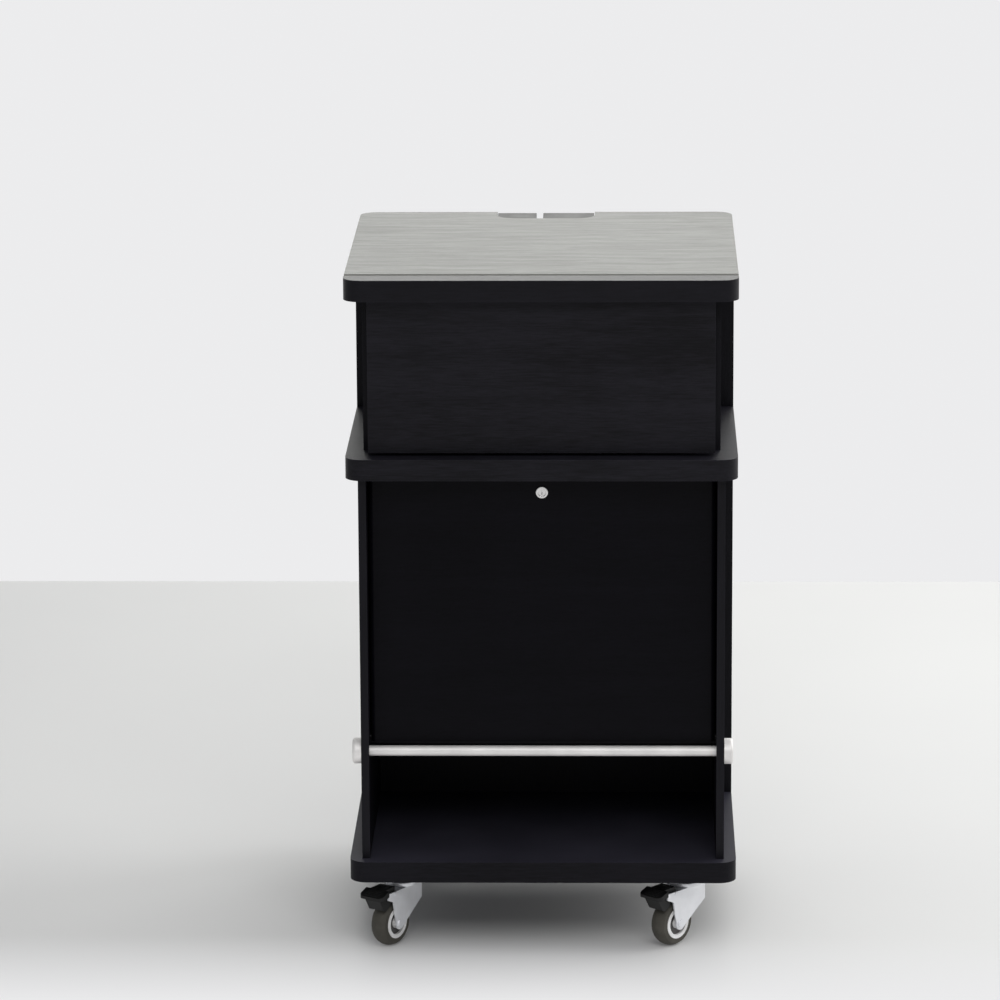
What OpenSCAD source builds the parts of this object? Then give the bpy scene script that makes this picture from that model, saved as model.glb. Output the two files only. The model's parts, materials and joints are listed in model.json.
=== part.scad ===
// Mobile lectern podium: three rounded boards, a drawer under the desk top, a lockable drop-down
// flap over a cabinet, a foot rail, a rear cable shaft and four swivel castors.
// Millimetres, +Z up, origin on the floor under the centre, the speaker stands at -Y.

/* [Boards] */
// Width of the desk top and of both shelves
board_w = 600; // [580:5:640]
// Depth of the desk top and of both shelves
board_d = 580; // [580:5:620]
// Thickness of the desk top and of both shelves
board_t = 33; // [30:1:36]
// Plan radius of the board corners
board_r = 27; // [15:1:35]
// Thickness of the upright panels
panel_t = 12; // [10:1:14]

/* [Heights] */
// Height of the castors under the bottom shelf
castor_h = 118; // [116:1:126]
// Clear height between the bottom shelf and the middle shelf
lower_h = 608; // [580:4:660]
// Clear height between the middle shelf and the desk top
upper_h = 245; // [230:5:280]

/* [Lower cabinet] */
// Overall width of the cabinet over its side panels
cabinet_w = 562; // [550:2:570]
// Height of the foot space under the cabinet
foot_space_h = 171; // [150:1:200]
// Diameter of the foot rail
rail_d = 16; // [12:1:18]
// Thickness of the door flap
door_t = 16; // [14:1:18]

/* [Drawer] */
// Width of the drawer front
drawer_front_w = 530; // [520:2:536]
// Overall width of the carcass that the drawer runs in
carcass_w = 548; // [546:1:556]
// How far the drawer slides out
drawer_travel = 240; // [100:10:260]

/* [Castors] */
// Diameter of each wheel
wheel_d = 75; // [65:1:75]
// Horizontal distance from the swivel axis to the wheel axle
trail = 33; // [28:1:34]
// Distance from each side edge of the bottom shelf to the swivel axis
castor_inset_x = 78; // [74:1:90]
// Distance from the front or rear edge of the bottom shelf to the swivel axis
castor_inset_y = 82; // [80:1:92]

/* [Hidden] */
$fn = 64;

// Colours
c_top = "dimgray";
c_board = [0.10, 0.10, 0.11];
c_panel = [0.07, 0.07, 0.08];
c_steel = "silver";
c_black = [0.03, 0.03, 0.03];
c_inside = [0.20, 0.20, 0.21];

// Levels, from the floor up
shelf_z = castor_h;
shelf_top = shelf_z + board_t;
middle_z = shelf_top + lower_h;
middle_top = middle_z + board_t;
desk_z = middle_top + upper_h;
desk_top = desk_z + board_t;

// Depths: the front edge of the boards and the uprights behind it
front_y = -board_d / 2;
rear_y = board_d / 2;
side_front_y = front_y + 20;        // front edges of the lower side panels
drawer_face_y = front_y + 26;       // face of the drawer front
carcass_front_y = front_y + 68;     // front edges of the upper side panels
back_y = front_y + 380;             // front face of the cross panels
back_t = 16;
cover_y = rear_y - 40;              // inner face of the rear covers
cover_t = 12;

// Desk top details
groove_y = front_y + 47;            // pen groove, across the whole width
groove_w = 14;
groove_depth = 6;
notch_w = 157;                      // cable notch in the back edge
notch_d = 58;
notch_r = 30;
flap_gap = 1;
flap_ledge = 8;                     // the cable flap rests on a ledge around the notch
flap_t = 8;
flap_drop = 1.5;                    // the cable flap lies this far below the desk surface
flap_back_y = rear_y - 2;
flap_z = desk_top - flap_drop - flap_t;
slot_x = -10;                       // slot in the cable flap
slot_w = 11;

// Cable holes
cable_hole_r = 30;
shelf_hole_y = (back_y + back_t + cover_y) / 2;
back_hole_z = shelf_top + 270;

// Lower cabinet
side_in = cabinet_w / 2 - panel_t;
floor_t = 16;
floor_z = shelf_top + foot_space_h;
rail_y = front_y + 40;
rail_z = floor_z - 2;
cap_r = 20;
cap_t = 14;
screw_r = 3;

// Door flap
door_face_y = front_y + 54;
door_w = 2 * side_in - 4;
pivot_y = door_face_y + door_t / 2;
pivot_z = rail_z + rail_d / 2 + door_t / 2 + 1;
pivot_drop = 6.5;                   // the flap reaches this far below its pivot
pin_r = 3;
pin_in_panel = 8;
pin_in_door = 15;
running_fit = 0.05;
door_z = pivot_z - pivot_drop;
door_top = middle_z - 2.5;
door_edge_r = 7;

// Cam lock at the top of the flap
lock_z = middle_z - 30;
lock_flange_r = 9;
lock_flange_t = 2;
lock_r = 8;
lock_plug_r = 5.5;
lock_length = door_t + 14;
nut_af = 22;
nut_t = 6;
cam_t = 2.5;
cam_w = 14;
cam_reach = 26;
key_slot_w = 1.6;
key_slot_h = 7;

// Drawer box
drawer_t = 12;
drawer_gap = 13;                    // room for a runner on each side
carcass_in = carcass_w / 2 - panel_t;
drawer_out = carcass_in - drawer_gap;
drawer_back_y = back_y - 26;
drawer_z = middle_top + 13;
drawer_h = 185;
drawer_front_t = 18;
drawer_base_t = 6;

// Ball runners
runner_h = 45;
runner_z = drawer_z + 60;
runner_t = 1.2;
runner_y = carcass_front_y + 6;
runner_l = back_y - 16 - runner_y;
runner_play = 1;

// Castors
swivel_x = board_w / 2 - castor_inset_x;
swivel_y = board_d / 2 - castor_inset_y;
wheel_r = wheel_d / 2;
wheel_w = 28;
rim_r = 25;
fork_top = 92;
fork_w = 38;
fork_t = 2.5;
fork_back = -26;
fork_front = 64;
plate_w = 62;
plate_t = 3;
plate_hole = 23;                    // half the spacing of the plate's holes
head_r = 22;
kingpin_r = 5;
axle_r = 4;
pedal_pivot = [44, 88];             // distance ahead of the swivel, height
pedal_pin_r = 2;
pedal_front = 87;                   // distance from the swivel to the pedal's front edge
pedal_w = 44;
pedal_corner_r = 8;
// Each castor: side, end, and how far it is turned from pointing straight ahead
castor_front_left = [-1, -1, -33];
castor_front_right = [1, -1, -41];
castor_rear_left = [-1, 1, -24];
castor_rear_right = [1, 1, -38];
castors = [castor_front_left, castor_front_right, castor_rear_left, castor_rear_right];

// ---- helpers ----

// A plan outline with four round corners
module rounded_outline(w, d, r) {
    square([w - 2 * r, d], center = true);
    square([w, d - 2 * r], center = true);
    for (x = [-1, 1], y = [-1, 1])
        translate([x * (w / 2 - r), y * (d / 2 - r)]) circle(r);
}

module board(z) {
    translate([0, 0, z]) linear_extrude(board_t) rounded_outline(board_w, board_d, board_r);
}

// A box from its lowest to its highest corner
module block(low, high) {
    translate(low) cube(high - low);
}

// An upright panel on one side, +1 right or -1 left, between two distances from the middle
module side_panel(side, x_in, x_out, y0, y1, z0, z1) {
    x_low = min(side * x_in, side * x_out);
    block([x_low, y0, z0], [x_low + x_out - x_in, y1, z1]);
}

// A cylinder along X, from x0 to x1
module bar_x(r, x0, x1) {
    translate([x0, 0, 0]) rotate([0, 90, 0]) cylinder(r = r, h = x1 - x0);
}

// A cylinder along Y, from y0 to y1
module bar_y(r, y0, y1) {
    translate([0, y0, 0]) rotate([-90, 0, 0]) cylinder(r = r, h = y1 - y0);
}

module mirror_pair() {
    children();
    mirror([1, 0, 0]) children();
}

// ---- boards ----

module notch_outline(inset) {
    r = notch_r - inset;
    w = notch_w - 2 * inset;
    translate([0, rear_y - notch_d + inset]) {
        translate([-w / 2, r]) square([w, notch_d]);
        translate([-w / 2 + r, 0]) square([w - 2 * r, r + 1]);
        for (x = [-1, 1]) translate([x * (w / 2 - r), r]) circle(r);
    }
}

module top_panel() {
    color(c_top) difference() {
        board(desk_z);
        translate([0, 0, desk_z - 1]) linear_extrude(board_t + 2) notch_outline(flap_ledge);
        translate([0, 0, flap_z]) linear_extrude(board_t) notch_outline(0);
        block(
            [-board_w / 2 - 1, groove_y - groove_w / 2, desk_top - groove_depth],
            [board_w / 2 + 1, groove_y + groove_w / 2, desk_top + 1]
        );
    }
}

// Loose insert that rests in the notch and leaves a slot for cables
module cable_flap() {
    color(c_black) difference() {
        translate([0, 0, flap_z]) linear_extrude(flap_t) intersection() {
            notch_outline(flap_gap);
            translate([-board_w / 2, 0]) square([board_w, flap_back_y]);
        }
        block(
            [slot_x - slot_w / 2, rear_y - notch_d + flap_ledge, desk_z],
            [slot_x + slot_w / 2, rear_y, desk_top]
        );
    }
}

module middle_shelf() {
    color(c_board) difference() {
        board(middle_z);
        translate([0, shelf_hole_y, middle_z - 1]) cylinder(r = cable_hole_r, h = board_t + 2);
    }
}

module bottom_shelf() {
    color(c_board) difference() {
        board(shelf_z);
        each_castor_screw() translate([0, 0, shelf_z - 1]) cylinder(r = screw_r, h = 19);
    }
}

// ---- uprights ----

module upper_side(side) {
    color(c_panel)
        side_panel(side, carcass_in, carcass_w / 2, carcass_front_y, back_y, middle_top, desk_z);
}

module lower_side(side) {
    color(c_panel) difference() {
        side_panel(side, side_in, cabinet_w / 2, side_front_y, back_y, shelf_top, middle_z);
        translate([0, rail_y, rail_z]) bar_x(rail_d / 2, -cabinet_w, cabinet_w);
        translate([0, pivot_y, pivot_z]) bar_x(pin_r, -side_in - pin_in_panel, side_in + pin_in_panel);
    }
}

module upper_back() {
    color(c_panel) block([-board_w / 2, back_y, middle_top], [board_w / 2, back_y + back_t, desk_z]);
}

module lower_back() {
    color(c_panel) difference() {
        block([-board_w / 2, back_y, shelf_top], [board_w / 2, back_y + back_t, middle_z]);
        translate([0, 0, back_hole_z]) bar_y(cable_hole_r, back_y - 1, back_y + back_t + 1);
    }
}

module cover_screw_holes() {
    each_cover_screw() bar_y(2, cover_y - 20, cover_y + 1);
}

module shaft_side(side, z0, z1) {
    color(c_panel) difference() {
        side_panel(side, board_w / 2 - back_t, board_w / 2, back_y + back_t, cover_y, z0, z1);
        cover_screw_holes();
    }
}

module rear_cover(z0, z1) {
    color(c_panel) difference() {
        block([-board_w / 2, cover_y, z0], [board_w / 2, cover_y + cover_t, z1]);
        each_cover_screw() bar_y(2, cover_y - 1, cover_y + cover_t + 1);
    }
}

module cabinet_floor() {
    color(c_panel) block([-side_in, door_face_y + door_t + 6, floor_z], [side_in, back_y, floor_z + floor_t]);
}

// ---- drawer ----

module drawer_front() {
    color(c_board) block(
        [-drawer_front_w / 2, drawer_face_y, middle_top + 5],
        [drawer_front_w / 2, drawer_face_y + drawer_front_t, desk_z - 3]
    );
}

module drawer_side(side) {
    color(c_inside) side_panel(
        side, drawer_out - drawer_t, drawer_out,
        drawer_face_y + drawer_front_t, drawer_back_y, drawer_z, drawer_z + drawer_h
    );
}

module drawer_back() {
    color(c_inside) block(
        [-drawer_out + drawer_t, drawer_back_y - drawer_t, drawer_z],
        [drawer_out - drawer_t, drawer_back_y, drawer_z + drawer_h]
    );
}

module drawer_base() {
    color(c_inside) block(
        [-drawer_out + drawer_t, drawer_face_y + drawer_front_t, drawer_z + 6],
        [drawer_out - drawer_t, drawer_back_y - drawer_t, drawer_z + 6 + drawer_base_t]
    );
}

// A C-shaped strip of sheet steel whose open side faces the middle of the lectern
module channel(x_web, x_lip, h) {
    difference() {
        block([x_lip, runner_y, runner_z], [x_web, runner_y + runner_l, runner_z + h]);
        block(
            [x_lip - 1, runner_y - 1, runner_z + runner_t],
            [x_web - runner_t, runner_y + runner_l + 1, runner_z + h - runner_t]
        );
    }
}

module runner_rails() {
    color(c_steel) mirror_pair() channel(carcass_in, carcass_in - 9, runner_h);
}

// The drawer's half of each runner, inside the rail's lips and open towards it
module runner_slides() {
    inset = runner_t + runner_play;
    color(c_steel) mirror_pair() difference() {
        block(
            [drawer_out, runner_y, runner_z + inset],
            [drawer_out + 9, runner_y + runner_l, runner_z + runner_h - inset]
        );
        block(
            [drawer_out + runner_t, runner_y - 1, runner_z + inset + runner_t],
            [drawer_out + 10, runner_y + runner_l + 1, runner_z + runner_h - inset - runner_t]
        );
    }
}

// ---- door flap and lock ----

module door_outline() {
    half = door_w / 2;
    r = door_edge_r;
    translate([-half + r, door_face_y]) square([door_w - 2 * r, door_t]);
    translate([-half, door_face_y + r]) square([door_w, door_t - r]);
    for (x = [-1, 1]) translate([x * (half - r), door_face_y + r]) circle(r);
}

module door_flap() {
    color(c_panel) difference() {
        translate([0, 0, door_z]) linear_extrude(door_top - door_z) door_outline();
        translate([0, 0, lock_z]) bar_y(lock_r, door_face_y - 1, door_face_y + door_t + 1);
        mirror_pair() translate([0, pivot_y, pivot_z])
            bar_x(pin_r + running_fit, door_w / 2 - pin_in_door - 1, door_w / 2 + 1);
    }
}

module door_pins() {
    color(c_steel) mirror_pair() translate([0, pivot_y, pivot_z])
        bar_x(pin_r, door_w / 2 - pin_in_door, side_in + pin_in_panel);
}

module lock_body() {
    color(c_steel) translate([0, 0, lock_z]) difference() {
        union() {
            bar_y(lock_flange_r, door_face_y - lock_flange_t, door_face_y);
            bar_y(lock_r, door_face_y, door_face_y - lock_flange_t + lock_length);
        }
        bar_y(lock_plug_r + running_fit, door_face_y - 10, door_face_y + lock_length + 1);
    }
}

module lock_nut() {
    color(c_steel) translate([0, 0, lock_z]) difference() {
        translate([0, door_face_y + door_t, 0]) rotate([-90, 0, 0])
            cylinder(d = nut_af / cos(30), h = nut_t, $fn = 6);
        bar_y(lock_r, door_face_y, door_face_y + door_t + nut_t + 1);
    }
}

module lock_cylinder() {
    face_y = door_face_y - lock_flange_t;
    color("gainsboro") translate([0, 0, lock_z]) difference() {
        bar_y(lock_plug_r, face_y, face_y + lock_length + 0.5);
        block([-key_slot_w / 2, face_y - 1, -key_slot_h / 2], [key_slot_w / 2, face_y + 8, key_slot_h / 2]);
    }
}

// The cam lies sideways when the lock is open and turns up behind the strike plate to lock
module lock_cam() {
    cam_y = door_face_y - lock_flange_t + lock_length + 0.5;
    color(c_steel) translate([0, cam_y, lock_z]) {
        block([0, 0, -cam_w / 2], [cam_reach - cam_w / 2, cam_t, cam_w / 2]);
        bar_y(cam_w / 2, 0, cam_t);
        translate([cam_reach - cam_w / 2, 0, 0]) bar_y(cam_w / 2, 0, cam_t);
    }
}

module strike_plate() {
    strike_y = door_face_y + door_t + 9;
    color(c_steel) {
        block([-20, strike_y, middle_z - 16], [20, strike_y + 1.5, middle_z]);
        block([-20, strike_y + 1.5, middle_z - 1.5], [20, strike_y + 22, middle_z]);
    }
}

// ---- foot rail ----

module foot_rail() {
    color(c_steel) translate([0, rail_y, rail_z]) difference() {
        bar_x(rail_d / 2, -cabinet_w / 2, cabinet_w / 2);
        mirror_pair() bar_x(screw_r, cabinet_w / 2 - 25, cabinet_w / 2 + 1);
    }
}

// Round end caps, turned with a soft outer edge and a seat for the screw's head
module rail_caps() {
    edge = 4.5;
    color(c_steel) mirror_pair() translate([cabinet_w / 2, rail_y, rail_z]) rotate([0, 90, 0])
        rotate_extrude() difference() {
            union() {
                square([cap_r, cap_t - edge]);
                square([cap_r - edge, cap_t]);
                translate([cap_r - edge, cap_t - edge]) circle(edge);
            }
            square([screw_r, cap_t + 1]);
            translate([0, cap_t - 5]) square([6.5, 6]);
            translate([-cap_r, -1]) square([cap_r, cap_t + 2]);
        }
}

module rail_screws() {
    color(c_steel) mirror_pair() translate([cabinet_w / 2, rail_y, rail_z]) difference() {
        union() {
            bar_x(screw_r, -25, cap_t - 5);
            bar_x(5.5, cap_t - 5, cap_t - 1);
        }
        translate([cap_t - 3.5, 0, 0]) rotate([0, 90, 0]) cylinder(r = 2.5, h = 3, $fn = 6);
    }
}

// ---- castors ----

// Only the front castors have a brake
function braked(c) = c[1] < 0;

module at_castor(c) {
    translate([c[0] * swivel_x, c[1] * swivel_y, 0]) rotate([0, 0, c[2]]) children();
}

// Places along the castor: x across, s ahead of the swivel axis (towards -Y), z up.
// Draws an outline of [s, z] points from x0 to x1.
module across(x0, x1) {
    translate([x0, 0, 0]) rotate([90, 0, -90]) mirror([0, 0, 1]) linear_extrude(x1 - x0) children();
}

module each_castor_screw() {
    for (c = castors, x = [-1, 1], y = [-1, 1])
        translate([c[0] * swivel_x + x * plate_hole, c[1] * swivel_y + y * plate_hole, 0]) children();
}

module castor_plates() {
    color(c_black) for (c = castors) translate([c[0] * swivel_x, c[1] * swivel_y, 0]) difference() {
        union() {
            translate([0, 0, castor_h - plate_t]) linear_extrude(plate_t)
                rounded_outline(plate_w, plate_w, 7);
            translate([0, 0, fork_top + 3]) cylinder(r = head_r, h = castor_h - plate_t - fork_top - 3);
        }
        translate([0, 0, fork_top]) cylinder(r = kingpin_r + running_fit, h = 21);
        for (x = [-1, 1], y = [-1, 1]) translate([x * plate_hole, y * plate_hole, castor_h - 10])
            cylinder(r = screw_r, h = 11);
    }
}

module castor_screws() {
    head_h = 3;
    color(c_steel) each_castor_screw() {
        translate([0, 0, castor_h - plate_t - head_h]) cylinder(r = 5, h = head_h);
        translate([0, 0, castor_h - plate_t]) cylinder(r = screw_r, h = plate_t + 18);
    }
}

module fork_outline() {
    polygon([
        [fork_back, fork_top], [fork_front, fork_top], [fork_front, fork_top - 10],
        [50, 76], [trail + 9.5, 40], [trail - 7, 30.5], [-2, 50], [fork_back, 66]
    ]);
    translate([trail, wheel_r]) circle(10);
}

module fork(c) {
    color(c_steel) at_castor(c) {
        difference() {
            union() {
                across(-fork_w / 2, -fork_w / 2 + fork_t) fork_outline();
                across(fork_w / 2 - fork_t, fork_w / 2) fork_outline();
                across(-fork_w / 2, fork_w / 2)
                    translate([fork_back, fork_top - fork_t]) square([36 - fork_back, fork_t]);
            }
            across(-fork_w, fork_w) translate([trail, wheel_r]) circle(axle_r);
            if (braked(c)) across(-fork_w, fork_w) translate(pedal_pivot) circle(pedal_pin_r);
        }
        translate([0, 0, fork_top]) cylinder(r = head_r - 4, h = 2.4);
        translate([0, 0, fork_top]) cylinder(r = kingpin_r, h = 20);
    }
}

// A pin across the fork with a flat head at each end
module headed_pin(r, head_r, head_t) {
    half = fork_w / 2;
    bar_x(r, -half, half);
    bar_x(head_r, half, half + head_t);
    bar_x(head_r, -half - head_t, -half);
}

// The wheel's axle and, on a braked castor, the pin that the pedal turns on
module axle(c) {
    color(c_steel) at_castor(c) {
        translate([0, -trail, wheel_r]) headed_pin(axle_r, 6, 2);
        if (braked(c)) translate([0, -pedal_pivot[0], pedal_pivot[1]]) headed_pin(pedal_pin_r, 3.2, 1);
    }
}

module wheel_turned(c) {
    color("white") at_castor(c) translate([0, -trail, wheel_r]) rotate([0, 90, 0])
        rotate_extrude() children();
}

module rim(c) {
    half = wheel_w / 2;
    wheel_turned(c) {
        translate([19, -half]) square([rim_r - 19, wheel_w]);
        translate([8, -5]) square([12, 10]);
        translate([axle_r + running_fit, -half - 1]) square([5, wheel_w + 2]);
    }
}

module guards(c) {
    wheel_turned(c) {
        translate([9.2, 5]) square([9.6, 5]);
        translate([9.2, -10]) square([9.6, 5]);
    }
}

module tyre(c) {
    crown = 20;
    wheel_turned(c) intersection() {
        translate([wheel_r - crown, 0]) circle(crown);
        translate([rim_r, -wheel_w / 2 + 1]) square([wheel_r, wheel_w - 2]);
    }
}

// Brake pedal: a sloping foot plate with a narrower shoe under it, shaped to the tread
module pedal(c) {
    shoe_w = 28;
    plate_back = 66;
    plate_top = 98.5;
    color(c_black) at_castor(c) difference() {
        union() {
            across(-shoe_w / 2, shoe_w / 2)
                polygon([
                    [40, plate_top], [plate_back, plate_top], [80, 88],
                    [80, 83], [70, 66], [65, 64], [40, 76]
                ]);
            intersection() {
                across(-pedal_w / 2, pedal_w / 2) polygon([
                    [plate_back, plate_top], [pedal_front, 91],
                    [pedal_front, 86.5], [80, 85], [plate_back, 89]
                ]);
                translate([0, 20 - pedal_front, 60]) linear_extrude(50)
                    rounded_outline(pedal_w, 40, pedal_corner_r);
            }
        }
        across(-pedal_w, pedal_w) translate([trail, wheel_r]) circle(wheel_r + 1);
        across(-pedal_w, pedal_w) translate(pedal_pivot) circle(pedal_pin_r + running_fit);
    }
}

// ---- screws of the rear covers ----

module each_cover_screw() {
    lower = [shelf_top + 40, (shelf_top + middle_z) / 2, middle_z - 40];
    upper = [middle_top + 40, desk_z - 40];
    for (x = [-1, 1], z = concat(lower, upper))
        translate([x * (board_w / 2 - back_t / 2), 0, z]) children();
}

module cover_screws() {
    color(c_steel) each_cover_screw() {
        bar_y(2, cover_y - 20, cover_y + cover_t);
        bar_y(4.5, cover_y + cover_t, cover_y + cover_t + 2.2);
    }
}

top_panel();
cable_flap();
middle_shelf();
bottom_shelf();
upper_side(-1);  // upper_side_left
upper_side(1);  // upper_side_right
upper_back();
lower_side(-1);  // lower_side_left
lower_side(1);  // lower_side_right
lower_back();
shaft_side(-1, shelf_top, middle_z);  // shaft_lower_left
shaft_side(1, shelf_top, middle_z);  // shaft_lower_right
shaft_side(-1, middle_top, desk_z);  // shaft_upper_left
shaft_side(1, middle_top, desk_z);  // shaft_upper_right
rear_cover(shelf_top, middle_z);  // rear_cover_lower
rear_cover(middle_top, desk_z);  // rear_cover_upper
cabinet_floor();
drawer_front();
drawer_side(-1);  // drawer_side_left
drawer_side(1);  // drawer_side_right
drawer_back();
drawer_base();
runner_rails();
runner_slides();
door_flap();
door_pins();
lock_body();
lock_nut();
lock_cylinder();
lock_cam();
strike_plate();
foot_rail();
rail_caps();
rail_screws();
castor_plates();
castor_screws();
cover_screws();
fork(castor_front_left);  // fork_front_left
fork(castor_front_right);  // fork_front_right
fork(castor_rear_left);  // fork_rear_left
fork(castor_rear_right);  // fork_rear_right
axle(castor_front_left);  // axle_front_left
axle(castor_front_right);  // axle_front_right
axle(castor_rear_left);  // axle_rear_left
axle(castor_rear_right);  // axle_rear_right
rim(castor_front_left);  // rim_front_left
rim(castor_front_right);  // rim_front_right
rim(castor_rear_left);  // rim_rear_left
rim(castor_rear_right);  // rim_rear_right
guards(castor_front_left);  // guards_front_left
guards(castor_front_right);  // guards_front_right
guards(castor_rear_left);  // guards_rear_left
guards(castor_rear_right);  // guards_rear_right
tyre(castor_front_left);  // tyre_front_left
tyre(castor_front_right);  // tyre_front_right
tyre(castor_rear_left);  // tyre_rear_left
tyre(castor_rear_right);  // tyre_rear_right
pedal(castor_front_left);  // pedal_left
pedal(castor_front_right);  // pedal_right
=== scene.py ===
"""Looks of the mobile lectern podium: stained wood, satin steel, moulded castors, a pale studio.

Metres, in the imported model's own frame: +Z up, the speaker at -Y, the origin on the floor.
"""

import json
import math

import bmesh
import bpy
from mathutils import Matrix, Vector


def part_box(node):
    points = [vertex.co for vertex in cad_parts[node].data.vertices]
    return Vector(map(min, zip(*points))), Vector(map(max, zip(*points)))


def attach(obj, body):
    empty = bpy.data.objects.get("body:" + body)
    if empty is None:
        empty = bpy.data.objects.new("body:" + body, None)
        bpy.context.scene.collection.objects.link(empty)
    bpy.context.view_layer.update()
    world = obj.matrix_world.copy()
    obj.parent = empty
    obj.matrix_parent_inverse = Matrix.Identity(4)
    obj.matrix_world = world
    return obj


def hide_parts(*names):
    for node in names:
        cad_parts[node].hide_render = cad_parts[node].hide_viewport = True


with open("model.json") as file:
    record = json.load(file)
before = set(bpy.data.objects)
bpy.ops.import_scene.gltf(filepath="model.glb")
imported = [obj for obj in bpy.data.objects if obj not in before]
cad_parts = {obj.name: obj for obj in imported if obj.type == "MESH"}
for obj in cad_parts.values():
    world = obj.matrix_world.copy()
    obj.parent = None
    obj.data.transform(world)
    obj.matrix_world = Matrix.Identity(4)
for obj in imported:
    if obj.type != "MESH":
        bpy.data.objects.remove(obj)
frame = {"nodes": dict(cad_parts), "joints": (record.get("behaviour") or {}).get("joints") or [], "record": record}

NODES = frame["nodes"]
JOINTS = {joint["name"]: joint for joint in frame["joints"]}
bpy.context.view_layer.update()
MM = 0.001

# ---- places on the object that the frame does not name ----

GROOVE_Y = -0.243            # middle of the pen groove
GROOVE_REACH = 7.4 * MM      # half its width and a little more
GROOVE_FLOOR = 8.0 * MM      # reaches below the groove's floor
FORK_TOP = 92 * MM
PLATE_BACK = 66 * MM         # a pedal's foot plate starts here, ahead of the swivel, and slopes down
PLATE_TOP = 98.5 * MM
PLATE_SLOPE = 7.5 / 21


# ---- node helpers ----

class Shader:
    """A material with a Principled shader and short calls to wire nodes into it."""

    def __init__(self, name, color, roughness, metallic=0.0, specular=0.5):
        self.material = bpy.data.materials.new(name)
        self.material.use_nodes = True
        self.tree = self.material.node_tree
        self.shader = self.tree.nodes["Principled BSDF"]
        self.set("Base Color", (*color, 1.0))
        self.set("Roughness", roughness)
        self.set("Metallic", metallic)
        self.set("Specular IOR Level", specular)

    def set(self, socket, value):
        self.shader.inputs[socket].default_value = value

    def node(self, kind, **settings):
        made = self.tree.nodes.new("ShaderNode" + kind)
        for key, value in settings.items():
            setattr(made, key, value)
        return made

    def link(self, source, target):
        self.tree.links.new(source, target)

    def place(self, scale):
        """The object's own coordinates in metres, scaled along X, Y and Z."""
        coords = self.node("TexCoord")
        mapping = self.node("Mapping")
        mapping.inputs["Scale"].default_value = scale
        self.link(coords.outputs["Object"], mapping.inputs["Vector"])
        return mapping.outputs["Vector"]

    def noise(self, where, scale=1.0, detail=4.0, roughness=0.5, distortion=0.0):
        made = self.node("TexNoise")
        made.inputs["Scale"].default_value = scale
        made.inputs["Detail"].default_value = detail
        made.inputs["Roughness"].default_value = roughness
        made.inputs["Distortion"].default_value = distortion
        self.link(where, made.inputs["Vector"])
        return made.outputs["Fac"]

    def ramp(self, value, *stops):
        """A value or colour for each (position, level) stop; a level is a number or a colour."""
        made = self.node("ValToRGB")
        elements = made.color_ramp.elements
        while len(elements) < len(stops):
            elements.new(1.0)
        for element, (position, level) in zip(elements, stops):
            element.position = position
            element.color = (*level, 1.0) if isinstance(level, tuple) else (level, level, level, 1.0)
        self.link(value, made.inputs["Fac"])
        return made.outputs["Color"]

    def span(self, value, low, high):
        """The value 0..1 mapped to low..high."""
        made = self.node("MapRange", clamp=True)
        made.inputs["To Min"].default_value = low
        made.inputs["To Max"].default_value = high
        self.link(value, made.inputs["Value"])
        return made.outputs["Result"]

    def math(self, operation, a, b):
        made = self.node("Math", operation=operation)
        for socket, value in zip(made.inputs, (a, b)):
            if isinstance(value, (int, float)):
                socket.default_value = value
            else:
                self.link(value, socket)
        return made.outputs["Value"]

    def mix(self, factor, a, b, blend="MIX"):
        made = self.node("MixRGB", blend_type=blend)
        for socket, value in zip(made.inputs, (factor, a, b)):
            if isinstance(value, tuple):
                socket.default_value = (*value, 1.0)
            elif isinstance(value, (int, float)):
                socket.default_value = value
            else:
                self.link(value, socket)
        return made.outputs["Color"]

    def bump(self, height, strength, distance):
        made = self.node("Bump")
        made.inputs["Strength"].default_value = strength
        made.inputs["Distance"].default_value = distance
        self.link(height, made.inputs["Height"])
        return made.outputs["Normal"]

    def edges(self, radius):
        """1 on the sharp edges, 0 on the flat faces."""
        rounded = self.node("Bevel", samples=4)
        rounded.inputs["Radius"].default_value = radius
        geometry = self.node("NewGeometry")
        dot = self.node("VectorMath", operation="DOT_PRODUCT")
        self.link(rounded.outputs["Normal"], dot.inputs[0])
        self.link(geometry.outputs["Normal"], dot.inputs[1])
        return self.span(self.math("SUBTRACT", 1.0, dot.outputs["Value"]), 0.0, 6.0)

    def facing_up(self):
        """1 on the level faces that look up, else 0."""
        parts = self.node("SeparateXYZ")
        self.link(self.node("NewGeometry").outputs["True Normal"], parts.inputs["Vector"])
        return self.math("GREATER_THAN", parts.outputs["Z"], 0.9)

    def wire(self, socket, value):
        self.link(value, self.shader.inputs[socket])


# ---- materials ----

GRAIN_X = (1.0, 14.0, 14.0)
GRAIN_Z = (14.0, 14.0, 1.0)
EVENLY = (1.0, 1.0, 1.0)


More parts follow.
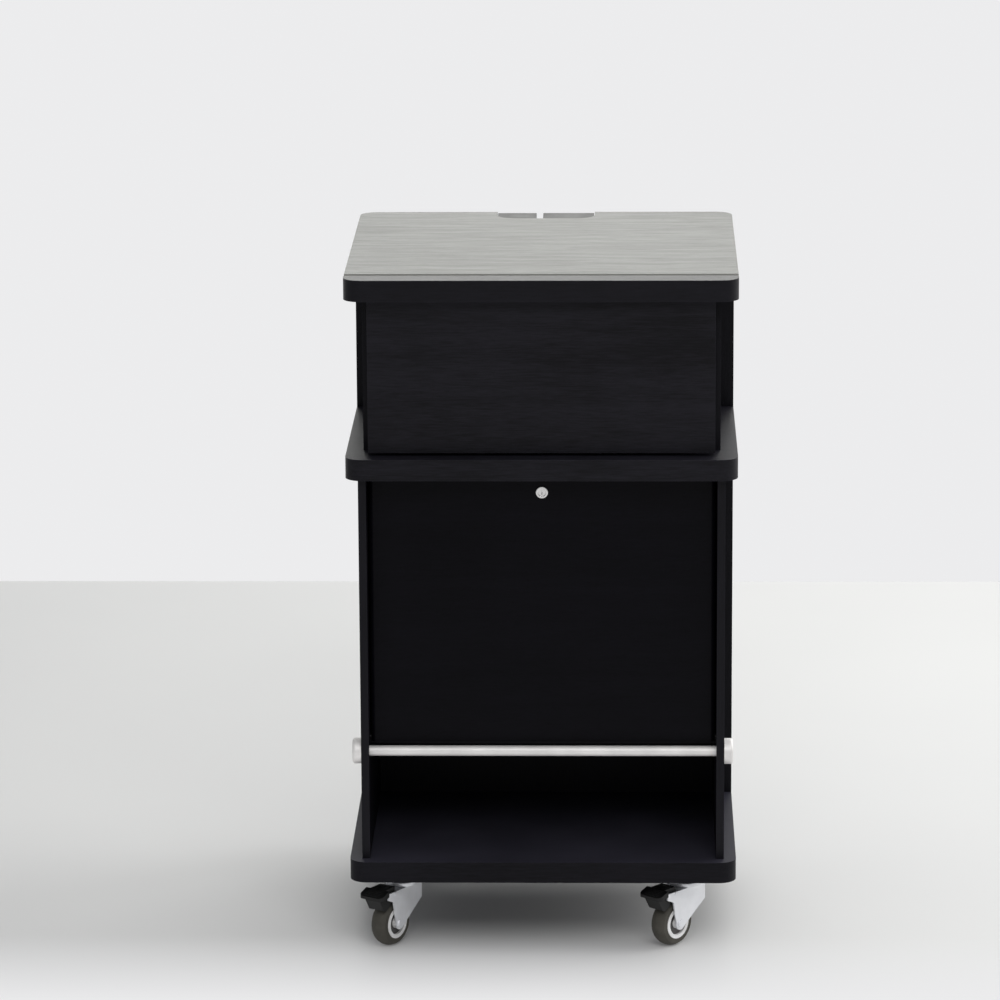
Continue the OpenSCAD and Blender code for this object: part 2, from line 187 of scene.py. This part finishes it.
def stained_wood(name, dark, light, rough, grain, specular=0.18, worn=0.4, contrast=1.0, dust=0.0):
    """Open-pored veneer under a dark stain: long fibres, short pores, soft mottle, worn edges, and on up-facing
    faces a pale mix that is part dust, part painted fill light.
    """
    wood = Shader(name, light, rough[0], specular=specular)
    along = wood.place(grain)
    fibres = wood.noise(along, scale=30.0, detail=8.0, roughness=0.62, distortion=0.3)
    pores = wood.noise(along, scale=75.0, detail=3.0, roughness=0.7)
    mottle = wood.noise(along, scale=2.4, detail=4.0, roughness=0.6, distortion=0.8)
    cloud = wood.noise(wood.place(EVENLY), scale=6.0, detail=3.0)
    blend = wood.math("ADD", wood.math("MULTIPLY", fibres, 0.45), wood.math("MULTIPLY", mottle, 0.30))
    blend = wood.math("ADD", blend, wood.math("MULTIPLY", cloud, 0.25))
    spread = 0.13 / contrast
    color = wood.ramp(blend, (0.5 - spread, dark), (0.5 + spread, light))
    pits = wood.ramp(pores, (0.30, 0.0), (0.44, 1.0))
    color = wood.mix(0.55, color, wood.mix(1.0, color, pits, "MULTIPLY"))
    scuffs = wood.math("MULTIPLY", wood.edges(1.4 * MM), wood.span(cloud, 0.0, worn))
    color = wood.mix(scuffs, color, tuple(min(1.0, c * 3.0 + 0.01) for c in light))
    # Up-facing faces turn pale blue-grey: part dust, part painted fill light that lifts their shade.
    if dust:
        dust_and_fill_mask = wood.math("MULTIPLY", wood.facing_up(), wood.span(cloud, 0.4 * dust, 1.6 * dust))
        color = wood.mix(dust_and_fill_mask, color, (0.060, 0.058, 0.080))
    wood.wire("Base Color", color)
    wood.wire("Roughness", wood.span(wood.math("ADD", wood.math("MULTIPLY", fibres, 0.6),
                                               wood.math("MULTIPLY", cloud, 0.4)), *rough))
    relief = wood.math("ADD", wood.math("MULTIPLY", fibres, 0.5), wood.math("MULTIPLY", pits, 0.5))
    wood.wire("Normal", wood.bump(relief, 0.30, 0.5 * MM))
    return wood


def desk_top(name, wood):
    """Lays a grey-green writing surface on a black-edged board, with a groove painted paler as painted light that
    lifts its shade, and a darker lip.
    """
    color = wood.shader.inputs["Base Color"].links[0].from_socket
    surface = wood.place((1.0, 9.0, 9.0))
    streaks = wood.noise(surface, scale=9.0, detail=6.0, roughness=0.6, distortion=0.5)
    fine = wood.noise(surface, scale=70.0, detail=3.0)
    tone = wood.math("ADD", wood.math("MULTIPLY", streaks, 0.7), wood.math("MULTIPLY", fine, 0.3))
    linen = wood.ramp(tone, (0.36, (0.098, 0.100, 0.088)), (0.64, (0.200, 0.202, 0.186)))
    axes = wood.node("SeparateXYZ")
    wood.link(wood.place(EVENLY), axes.inputs["Vector"])
    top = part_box("top_panel")[1][2]
    level = wood.math("MULTIPLY", wood.facing_up(),
                      wood.math("GREATER_THAN", axes.outputs["Z"], top - 1.0 * MM))
    beside = wood.math("ABSOLUTE", wood.math("SUBTRACT", axes.outputs["Y"], GROOVE_Y), 0.0)
    groove_fill_mask = wood.math("MULTIPLY", wood.math("LESS_THAN", beside, GROOVE_REACH),
                       wood.math("GREATER_THAN", axes.outputs["Z"], top - GROOVE_FLOOR))
    lip = wood.math("MULTIPLY", level, wood.math("LESS_THAN", axes.outputs["Y"], GROOVE_Y))
    color = wood.mix(level, color, linen)
    # The groove is painted paler: painted light that lifts the shade in the recess.
    color = wood.mix(groove_fill_mask, color, (0.34, 0.34, 0.32))
    wood.wire("Base Color", wood.mix(lip, color, (0.050, 0.050, 0.050)))
    gloss = wood.math("SUBTRACT", level, wood.math("MULTIPLY", lip, 0.75))
    wood.wire("Specular IOR Level", wood.span(gloss, 0.18, 0.30))
    wood.material.name = name
    return wood


def metal(name, color, rough, brush=None, metallic=1.0):
    """Metal with a drawn or tumbled surface and faint stains; lower metallic for a milky finish."""
    steel = Shader(name, color, rough[0], metallic=metallic)
    where = steel.place(brush or EVENLY)
    grain = steel.noise(where, scale=420.0 if brush else 160.0, detail=3.0, roughness=0.6)
    haze = steel.noise(steel.place(EVENLY), scale=26.0, detail=4.0)
    shade = tuple(c * 0.86 for c in color)
    steel.wire("Base Color", steel.mix(steel.ramp(haze, (0.35, 0.0), (0.75, 1.0)), color, shade))
    steel.wire("Roughness", steel.span(steel.math("ADD", steel.math("MULTIPLY", grain, 0.5),
                                                  steel.math("MULTIPLY", haze, 0.5)), *rough))
    steel.wire("Normal", steel.bump(grain, 0.05, 0.1 * MM))
    return steel.material


def moulded(name, color, rough, texture=900.0, relief=0.12, specular=0.45):
    """Moulded plastic or rubber: fine spark-eroded texture, handling marks, dusty tone."""
    plastic = Shader(name, color, rough[0], specular=specular)
    fine = plastic.noise(plastic.place(EVENLY), scale=texture, detail=2.0)
    haze = plastic.noise(plastic.place(EVENLY), scale=38.0, detail=4.0, roughness=0.6)
    lighter = tuple(min(1.0, c * 1.35 + 0.004) for c in color)
    plastic.wire("Base Color", plastic.mix(plastic.ramp(haze, (0.40, 0.0), (0.72, 1.0)), color, lighter))
    plastic.wire("Roughness", plastic.span(haze, *rough))
    plastic.wire("Normal", plastic.bump(fine, relief, 0.08 * MM))
    return plastic.material


MATERIALS = {
    "desktop": desk_top("desktop_surface", stained_wood(
        "desktop_edge", (0.0024, 0.0022, 0.0037), (0.0073, 0.0067, 0.0105), (0.34, 0.50), GRAIN_X)).material,
    # Its dust amount pales up-facing faces: part dust, part painted fill light.
    "board": stained_wood("board_veneer", (0.0027, 0.0024, 0.0042), (0.0106, 0.0098, 0.0144),
                          (0.36, 0.58), GRAIN_X, contrast=1.6, dust=0.14).material,
    # A darker copy of the board veneer for the bottom shelf, as painted shade; its high dust amount also paints a
    # fill lift on its top face.
    "painted_shade_board": stained_wood("painted_shade_board_veneer", (0.0019, 0.0017, 0.0030), (0.0074, 0.0068, 0.0102),
                              (0.38, 0.58), GRAIN_X, specular=0.13, contrast=1.6, dust=0.50).material,
    "panel": stained_wood("panel_veneer", (0.0023, 0.0021, 0.0037), (0.0069, 0.0064, 0.0100),
                          (0.38, 0.60), GRAIN_Z).material,
    "flap": stained_wood("flap_lacquer", (0.0013, 0.0011, 0.0023), (0.0033, 0.0029, 0.0052),
                         (0.30, 0.42), GRAIN_X, specular=0.09, worn=0.2).material,
    "drawer_box": stained_wood("drawer_board", (0.030, 0.030, 0.031), (0.050, 0.050, 0.052),
                               (0.50, 0.70), GRAIN_X, worn=0.2).material,
    "stainless": metal("satin_stainless", (0.97, 0.95, 0.93), (0.44, 0.54),
                       brush=(0.05, 1.0, 1.0), metallic=0.35),
    "zinc": metal("bright_zinc", (0.96, 0.97, 1.0), (0.24, 0.40), metallic=0.4),
    "nickel": metal("polished_nickel", (0.86, 0.85, 0.84), (0.12, 0.26)),
    "black_steel": moulded("black_powder_coat", (0.008, 0.008, 0.009), (0.40, 0.60), 520.0, 0.25, 0.25),
    "black_plastic": moulded("black_nylon", (0.007, 0.007, 0.007), (0.36, 0.58), specular=0.3),
    "rim_plastic": moulded("pale_rim_nylon", (0.80, 0.79, 0.78), (0.24, 0.42), relief=0.06),
    "guard_plastic": moulded("dark_guard_plastic", (0.060, 0.056, 0.055), (0.38, 0.58)),
    "tyre_rubber": moulded("taupe_tyre_rubber", (0.062, 0.058, 0.048), (0.52, 0.74), 700.0, 0.2, 0.3),
}


def dress_nodes():
    """Gives every CAD node the material of its slot and soft edges; the bottom shelf takes the darker
    painted-shade copy of the board veneer.
    """
    slots = {part["node"]: part["material_slot"] for part in frame["record"]["subparts"]}
    slot_edge = {"desktop": 2.2, "board": 2.2, "panel": 0.9, "flap": 1.4, "drawer_box": 0.8,
                 "black_plastic": 1.2}
    node_edge = {"drawer_front": 0.8, "cable_flap": 0.5}
    for name, node in NODES.items():
        slot = slots[name]
        node.data.materials.clear()
        # The bottom shelf takes the darker copy of the board veneer, as painted shade.
        node.data.materials.append(MATERIALS["painted_shade_board" if name == "bottom_shelf" else slot])
        bevel = node.modifiers.new("soft_edges", "BEVEL")
        bevel.width = node_edge.get(name, slot_edge.get(slot, 0.35)) * MM
        bevel.segments = 3
        bevel.limit_method = "ANGLE"
        bevel.angle_limit = math.radians(40)
        bevel.harden_normals = True


# ---- detail pieces ----

CASTORS = ("front_left", "front_right", "rear_left", "rear_right")
TURN_STEPS = 48              # corners round each turned piece
RIDGES = 5
RIDGE_START = 68.5 * MM
RIDGE_PITCH = 3.6 * MM
RIDGE_HALF = 14 * MM


def add_piece(name, mesh, slot, body, smooth=40.0):
    """Links a mesh as a piece that rides on a body and takes a slot's material."""
    mesh.materials.append(MATERIALS[slot])
    mesh.shade_smooth()
    mesh.set_sharp_from_angle(angle=math.radians(smooth))
    piece = bpy.data.objects.new(name, mesh)
    bpy.context.scene.collection.objects.link(piece)
    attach(piece, body)
    return piece


def lathe(shape, profile, place, closed=True):
    """Adds a turned body to the bmesh: (radius, height) points in mm, spun about place's Z axis."""
    rings = []
    for radius, height in profile:
        if radius < 1e-6:
            rings.append([shape.verts.new(place @ Vector((0, 0, height * MM)))])
            continue
        ring = []
        for step in range(TURN_STEPS):
            angle = 2 * math.pi * step / TURN_STEPS
            point = Vector((radius * math.cos(angle), radius * math.sin(angle), height)) * MM
            ring.append(shape.verts.new(place @ point))
        rings.append(ring)
    following = rings[1:] + (rings[:1] if closed else [])
    for lower, upper in zip(rings, following):
        for step in range(TURN_STEPS):
            ahead = (step + 1) % TURN_STEPS
            corners = (lower[step % len(lower)], lower[ahead % len(lower)],
                       upper[ahead % len(upper)], upper[step % len(upper)])
            corners = list(dict.fromkeys(corners))     # a point on the axis counts once
            if len(corners) > 2:
                shape.faces.new(corners)


def finish_mesh(shape, name):
    """The bmesh as a mesh with its faces turned outwards."""
    bmesh.ops.recalc_face_normals(shape, faces=shape.faces)
    mesh = bpy.data.meshes.new(name)
    shape.to_mesh(mesh)
    shape.free()
    return mesh


def round_corner(center, radius, start, stop, steps=5):
    """Points of an arc in a lathe profile, angles in degrees."""
    return [(center[0] + radius * math.cos(math.radians(start + (stop - start) * k / steps)),
             center[1] + radius * math.sin(math.radians(start + (stop - start) * k / steps)))
            for k in range(steps + 1)]


def build_race_cups():
    """A pressed dust cup round the ball race of each castor; it turns with the fork."""
    for castor in CASTORS:
        pivot = JOINTS["castor_swivel_" + castor]["pos_m"]
        shape = bmesh.new()
        profile = [(22.5, 0.2), *round_corner((24.6, 1.4), 1.2, -90, 0),
                   *round_corner((24.4, 5.6), 1.0, 0, 90), *round_corner((23.2, 6.0), 0.7, 90, 180)]
        lathe(shape, profile, Matrix.Translation((pivot[0], pivot[1], FORK_TOP)))
        name = "race_cup_" + castor
        add_piece(name, finish_mesh(shape, name), "zinc", "swivel_" + castor)


def build_lock_collar():
    """A domed collar round the face of the cam lock, with a fine groove between it and the plug."""
    low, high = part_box("lock_cylinder")
    middle = (low + high) / 2
    face = Matrix.Translation((middle[0], low[1], middle[2])) @ Matrix.Rotation(math.pi / 2, 4, "X")
    shape = bmesh.new()
    profile = [(5.9, -1.6), *round_corner((6.6, 0.0), 0.7, 180, 90),
               *round_corner((8.2, -0.8), 1.5, 90, 0), (9.7, -1.95)]
    lathe(shape, profile, face)
    add_piece("lock_collar", finish_mesh(shape, "lock_collar"), "nickel", "door")


def cross_recess(shape, place, reach, width, depth):
    """Two crossed slots, as a closed prism for cutting; sizes in mm, mouth at local z = 0."""
    half = width / 2
    outline = [(half, half), (half, reach), (-half, reach), (-half, half), (-reach, half), (-reach, -half),
               (-half, -half), (-half, -reach), (half, -reach), (half, -half), (reach, -half), (reach, half)]
    floor = [shape.verts.new(place @ (Vector((x * 0.55, y * 0.55, -depth)) * MM)) for x, y in outline]
    mouth = [shape.verts.new(place @ (Vector((x, y, 0.6)) * MM)) for x, y in outline]
    shape.faces.new(floor)
    shape.faces.new(mouth)
    for k in range(len(outline)):
        ahead = (k + 1) % len(outline)
        shape.faces.new([floor[k], floor[ahead], mouth[ahead], mouth[k]])


def build_cover_screws():
    """Pan-head screws with a cross recess hold the rear covers; all are one piece."""
    shape = bmesh.new()
    cutter = bmesh.new()
    cover_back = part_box("rear_cover_lower")[1][1]
    for x, z in screw_places():
        place = Matrix.Translation((x, cover_back, z)) @ Matrix.Rotation(-math.pi / 2, 4, "X")
        profile = [(0, -30), (1.2, -29), (1.9, -26), (1.9, 0.05), (4.4, 0.05),
                   *round_corner((3.6, 0.9), 0.9, -10, 60), (2.6, 2.0), (0, 2.2)]
        lathe(shape, profile, place, closed=False)
        cross_recess(cutter, place @ Matrix.Translation((0, 0, 2.2 * MM)), 2.5, 0.9, 1.5)
    mesh = cut_away(finish_mesh(shape, "cover_screw_set"), finish_mesh(cutter, "recesses"))
    screws = add_piece("cover_screw_set", mesh, "black_steel", "cabinet", smooth=30.0)
    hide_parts("cover_screws")


def screw_places():
    """The (x, z) middle of each screw of the rear covers, read from the CAD node."""
    apart = 12 * MM      # more than a head is wide, less than two screws are apart
    cells = {}
    for vertex in NODES["cover_screws"].data.vertices:
        key = (round(vertex.co.x / apart), round(vertex.co.z / apart))
        cells.setdefault(key, []).append(vertex.co)
    screws = []
    for points in cells.values():
        center = sum(points, Vector()) / len(points)
        near = [screw for screw in screws if (screw[0] - center).xz.length < apart]
        if near:
            near[0][1].extend(points)
        else:
            screws.append((center, list(points)))
    places = []
    for _, points in screws:
        xs = [point.x for point in points]
        zs = [point.z for point in points]
        places.append(((min(xs) + max(xs)) / 2, (min(zs) + max(zs)) / 2))
    return sorted(places)


def cut_away(body_mesh, cutter_mesh):
    """The first mesh less the second, through two helper objects that are removed again."""
    body = bpy.data.objects.new("screws_uncut", body_mesh)
    cutter = bpy.data.objects.new("screw_recesses", cutter_mesh)
    for made in (body, cutter):
        bpy.context.scene.collection.objects.link(made)
    cut = body.modifiers.new("recess", "BOOLEAN")
    cut.operation = "DIFFERENCE"
    cut.object = cutter
    cut.solver = "EXACT"
    graph = bpy.context.evaluated_depsgraph_get()
    mesh = bpy.data.meshes.new_from_object(body.evaluated_get(graph))
    for made in (body, cutter):
        bpy.data.objects.remove(made)
    return mesh


def build_pedal_ridges():
    """Raised grip ridges across the foot plate of each brake pedal."""
    for side in ("left", "right"):
        swivel = JOINTS["castor_swivel_front_" + side]["pos_m"]
        across = Vector(JOINTS["wheel_spin_front_" + side]["axis"])
        ahead = Vector((across.y, -across.x, 0))
        shape = bmesh.new()
        for k in range(RIDGES):
            reach = RIDGE_START + k * RIDGE_PITCH
            drop = (reach - PLATE_BACK) * PLATE_SLOPE
            center = Vector((swivel[0], swivel[1], PLATE_TOP - drop)) + ahead * reach
            ridge_bar(shape, center, across, ahead, RIDGE_HALF, 0.9 * MM, 0.7 * MM)
        name = "pedal_ridges_" + side
        add_piece(name, finish_mesh(shape, name), "black_plastic", "brake_" + side)


def ridge_bar(shape, center, across, ahead, half_length, half_width, height):
    """A half-round bar with tapered ends, sunk a little into the surface it lies on."""
    stations = [(-1.0, 0.25), (-0.93, 0.8), (-0.85, 1.0), (0.85, 1.0), (0.93, 0.8), (1.0, 0.25)]
    arc = [(-1.0, -0.8), (-1.0, 0.0), (-0.7, 0.7), (0.0, 1.0), (0.7, 0.7), (1.0, 0.0), (1.0, -0.8)]
    rings = []
    for along, scale in stations:
        ring = []
        for u, w in arc:
            lift = w * height * (scale if w > 0 else 1.0)
            point = center + across * (along * half_length) + ahead * (u * half_width * scale)
            ring.append(shape.verts.new(point + Vector((0, 0, lift))))
        rings.append(ring)
    for one, two in zip(rings, rings[1:]):
        for k in range(len(arc)):
            after = (k + 1) % len(arc)
            shape.faces.new([one[k], one[after], two[after], two[k]])
    shape.faces.new(rings[0])
    shape.faces.new(list(reversed(rings[-1])))


# ---- studio ----

FLOOR_BACK = 2.04        # beyond this line the floor has the pale tone of a wall
FLOOR_REACH = 14.0
GLOW_START = -0.20       # ahead of this line the floor glows
GLOW_DEPTH = 0.75        # the strong glow ends this far ahead of the line
GLOW_RISE = 3.0          # share gained per metre at its start
GLOW_FALL = 2.6          # share lost per metre at its end
GLOW_BEYOND = 0.35       # share of glow in the rest of the floor ahead


def build_floor():
    """A pale floor that glows in a strip in front, and evenly past a line behind, as a wall would."""
    floor = Shader("pale_floor", (0.80, 0.80, 0.79), 0.5, specular=0.3)
    where = floor.place(EVENLY)
    drift = floor.noise(where, scale=0.8, detail=3.0)
    floor.wire("Base Color", floor.ramp(drift, (0.3, (0.775, 0.775, 0.77)), (0.7, (0.81, 0.81, 0.80))))
    axes = floor.node("SeparateXYZ")
    floor.link(where, axes.inputs["Vector"])
    glow = floor.node("Emission")
    glow.inputs["Color"].default_value = (0.84, 0.84, 0.85, 1.0)
    split = floor.node("MixShader")
    forward = floor.math("SUBTRACT", GLOW_START, axes.outputs["Y"])
    rise = floor.math("MULTIPLY", forward, GLOW_RISE)
    fall = floor.math("MULTIPLY", floor.math("SUBTRACT", GLOW_DEPTH, forward), GLOW_FALL)
    beyond = floor.math("MINIMUM", rise, GLOW_BEYOND)
    strip = floor.math("MAXIMUM", floor.math("MAXIMUM", floor.math("MINIMUM", rise, fall), beyond), 0.0)
    behind = floor.math("GREATER_THAN", axes.outputs["Y"], FLOOR_BACK)
    floor.link(floor.math("MINIMUM", floor.math("ADD", strip, behind), 1.0), split.inputs["Fac"])
    floor.link(floor.shader.outputs["BSDF"], split.inputs[1])
    floor.link(glow.outputs["Emission"], split.inputs[2])
    floor.link(split.outputs["Shader"], floor.tree.nodes["Material Output"].inputs["Surface"])

    mesh = bpy.data.meshes.new("studio_floor")
    reach = FLOOR_REACH
    mesh.from_pydata([(-reach, -reach, 0), (reach, -reach, 0), (reach, reach, 0), (-reach, reach, 0)],
                     [], [(0, 1, 2, 3)])
    mesh.materials.append(floor.material)
    studio = bpy.data.objects.new("studio_floor", mesh)
    bpy.context.scene.collection.objects.link(studio)


def build_world():
    """A pale tone where the camera looks past the floor, a softer sky for the light."""
    world = bpy.data.worlds.new("studio")
    bpy.context.scene.world = world
    world.use_nodes = True
    tree = world.node_tree
    wall = tree.nodes["Background"]
    wall.inputs["Color"].default_value = (0.84, 0.84, 0.85, 1.0)
    fill = tree.nodes.new("ShaderNodeBackground")
    fill.inputs["Color"].default_value = (0.96, 0.97, 1.0, 1.0)
    fill.inputs["Strength"].default_value = 0.30
    rays = tree.nodes.new("ShaderNodeLightPath")
    choose = tree.nodes.new("ShaderNodeMixShader")
    tree.links.new(rays.outputs["Is Camera Ray"], choose.inputs["Fac"])
    tree.links.new(fill.outputs["Background"], choose.inputs[1])
    tree.links.new(wall.outputs["Background"], choose.inputs[2])
    tree.links.new(choose.outputs["Shader"], tree.nodes["World Output"].inputs["Surface"])


def softbox(name, at, aim, width, height, power, color=(1.0, 1.0, 1.0)):
    """A rectangular area light at one point, aimed at another, unseen by the camera."""
    light = bpy.data.lights.new(name, "AREA")
    light.shape = "RECTANGLE"
    light.size = width
    light.size_y = height
    light.energy = power
    light.color = color
    lamp = bpy.data.objects.new(name, light)
    lamp.rotation_euler = (Vector(at) - Vector(aim)).to_track_quat("Z", "Y").to_euler()
    lamp.location = at
    lamp.visible_camera = False
    bpy.context.scene.collection.objects.link(lamp)


def light_studio():
    """Daylight from behind and from the right, a wide soft ceiling, a high softbox in front."""
    middle = (0.0, 0.0, 0.6)
    softbox("window_behind", (0.8, 3.6, 2.5), middle, 5.0, 1.8, 82.0, (1.0, 1.0, 0.97))
    softbox("window_right", (3.6, 0.8, 2.2), middle, 2.4, 2.4, 62.0)
    softbox("ceiling", (0.6, 0.2, 4.4), middle, 4.5, 4.5, 42.0)
    softbox("front", (0.8, -4.5, 4.0), middle, 3.5, 2.0, 84.0)


def aim_camera():
    """The camera stands 7.8 m in front, 2.5 m up, and looks down at the lectern."""
    camera = bpy.data.objects.new("camera", bpy.data.cameras.new("camera"))
    camera.data.lens = 182.2
    camera.data.sensor_width = 36.0
    pan = math.radians(1.444)
    pitch = math.radians(13.545)
    roll = math.radians(-0.33)
    turn = (Matrix.Rotation(pan, 4, "Z") @ Matrix.Rotation(math.pi / 2 - pitch, 4, "X")
            @ Matrix.Rotation(roll, 4, "Z"))
    camera.matrix_world = Matrix.Translation((0.126, -7.790, 2.537)) @ turn
    bpy.context.scene.collection.objects.link(camera)
    bpy.context.scene.camera = camera


dress_nodes()
build_race_cups()
build_lock_collar()
build_cover_screws()
build_pedal_ridges()
build_floor()
build_world()
light_studio()
aim_camera()
bpy.context.scene.view_settings.view_transform = "Standard"
